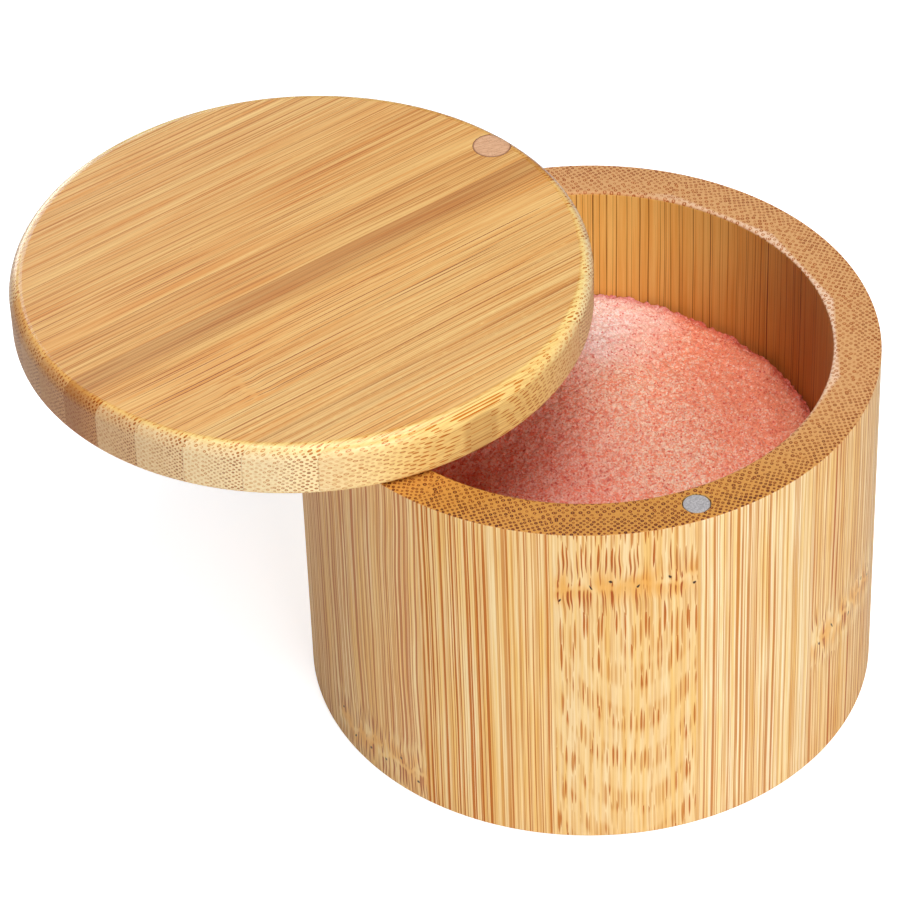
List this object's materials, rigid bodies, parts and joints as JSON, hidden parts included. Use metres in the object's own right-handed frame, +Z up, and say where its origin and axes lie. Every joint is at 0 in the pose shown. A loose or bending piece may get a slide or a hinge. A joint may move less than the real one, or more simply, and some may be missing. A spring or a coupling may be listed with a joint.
{
  "type": "salt box",
  "caption": "Round bamboo salt box with a flat lid that swivels on an upright dowel in the rim and is held shut by a pair of magnets.",
  "frame": {"origin": "centre of the underside, on the axis of the round wall", "axes": "+Z up, +Y from that axis to the pivot dowel in the rim"},
  "size_m": [0.126, 0.1128, 0.0699],
  "materials": {
    "wall_bamboo": "satin",
    "lid_bamboo": "satin",
    "base_bamboo": "satin",
    "dowel_wood": "satin",
    "magnet_plating": "satin",
    "pink_salt": "matte"
  },
  "bodies": {
    "box": {"base_board": "base_bamboo", "rim_magnet": "magnet_plating", "salt_fill": "pink_salt", "stave_01": "wall_bamboo", "stave_02": "wall_bamboo", "stave_03": "wall_bamboo", "stave_04": "wall_bamboo", "stave_05": "wall_bamboo", "stave_06": "wall_bamboo", "stave_07": "wall_bamboo", "stave_08": "wall_bamboo", "stave_09": "wall_bamboo", "stave_10": "wall_bamboo", "stave_11": "wall_bamboo", "stave_12": "wall_bamboo", "stave_13": "wall_bamboo"},
    "lid": {"lid_magnet": "magnet_plating", "lid_strip_01": "lid_bamboo", "lid_strip_02": "lid_bamboo", "lid_strip_03": "lid_bamboo", "lid_strip_04": "lid_bamboo", "lid_strip_05": "lid_bamboo", "lid_strip_06": "lid_bamboo", "lid_strip_07": "lid_bamboo", "lid_strip_08": "lid_bamboo", "lid_strip_09": "lid_bamboo", "lid_strip_10": "lid_bamboo", "lid_strip_11": "lid_bamboo", "lid_strip_12": "lid_bamboo", "lid_strip_13": "lid_bamboo", "pivot_dowel": "dowel_wood"}
  },
  "joints": [
    {"name": "lid_swivel", "type": "hinge", "parent": "box", "child": "lid", "pos_m": [0, 0.0408, 0.0612], "axis": [0, 0, 1], "continuous": true}
  ]
}
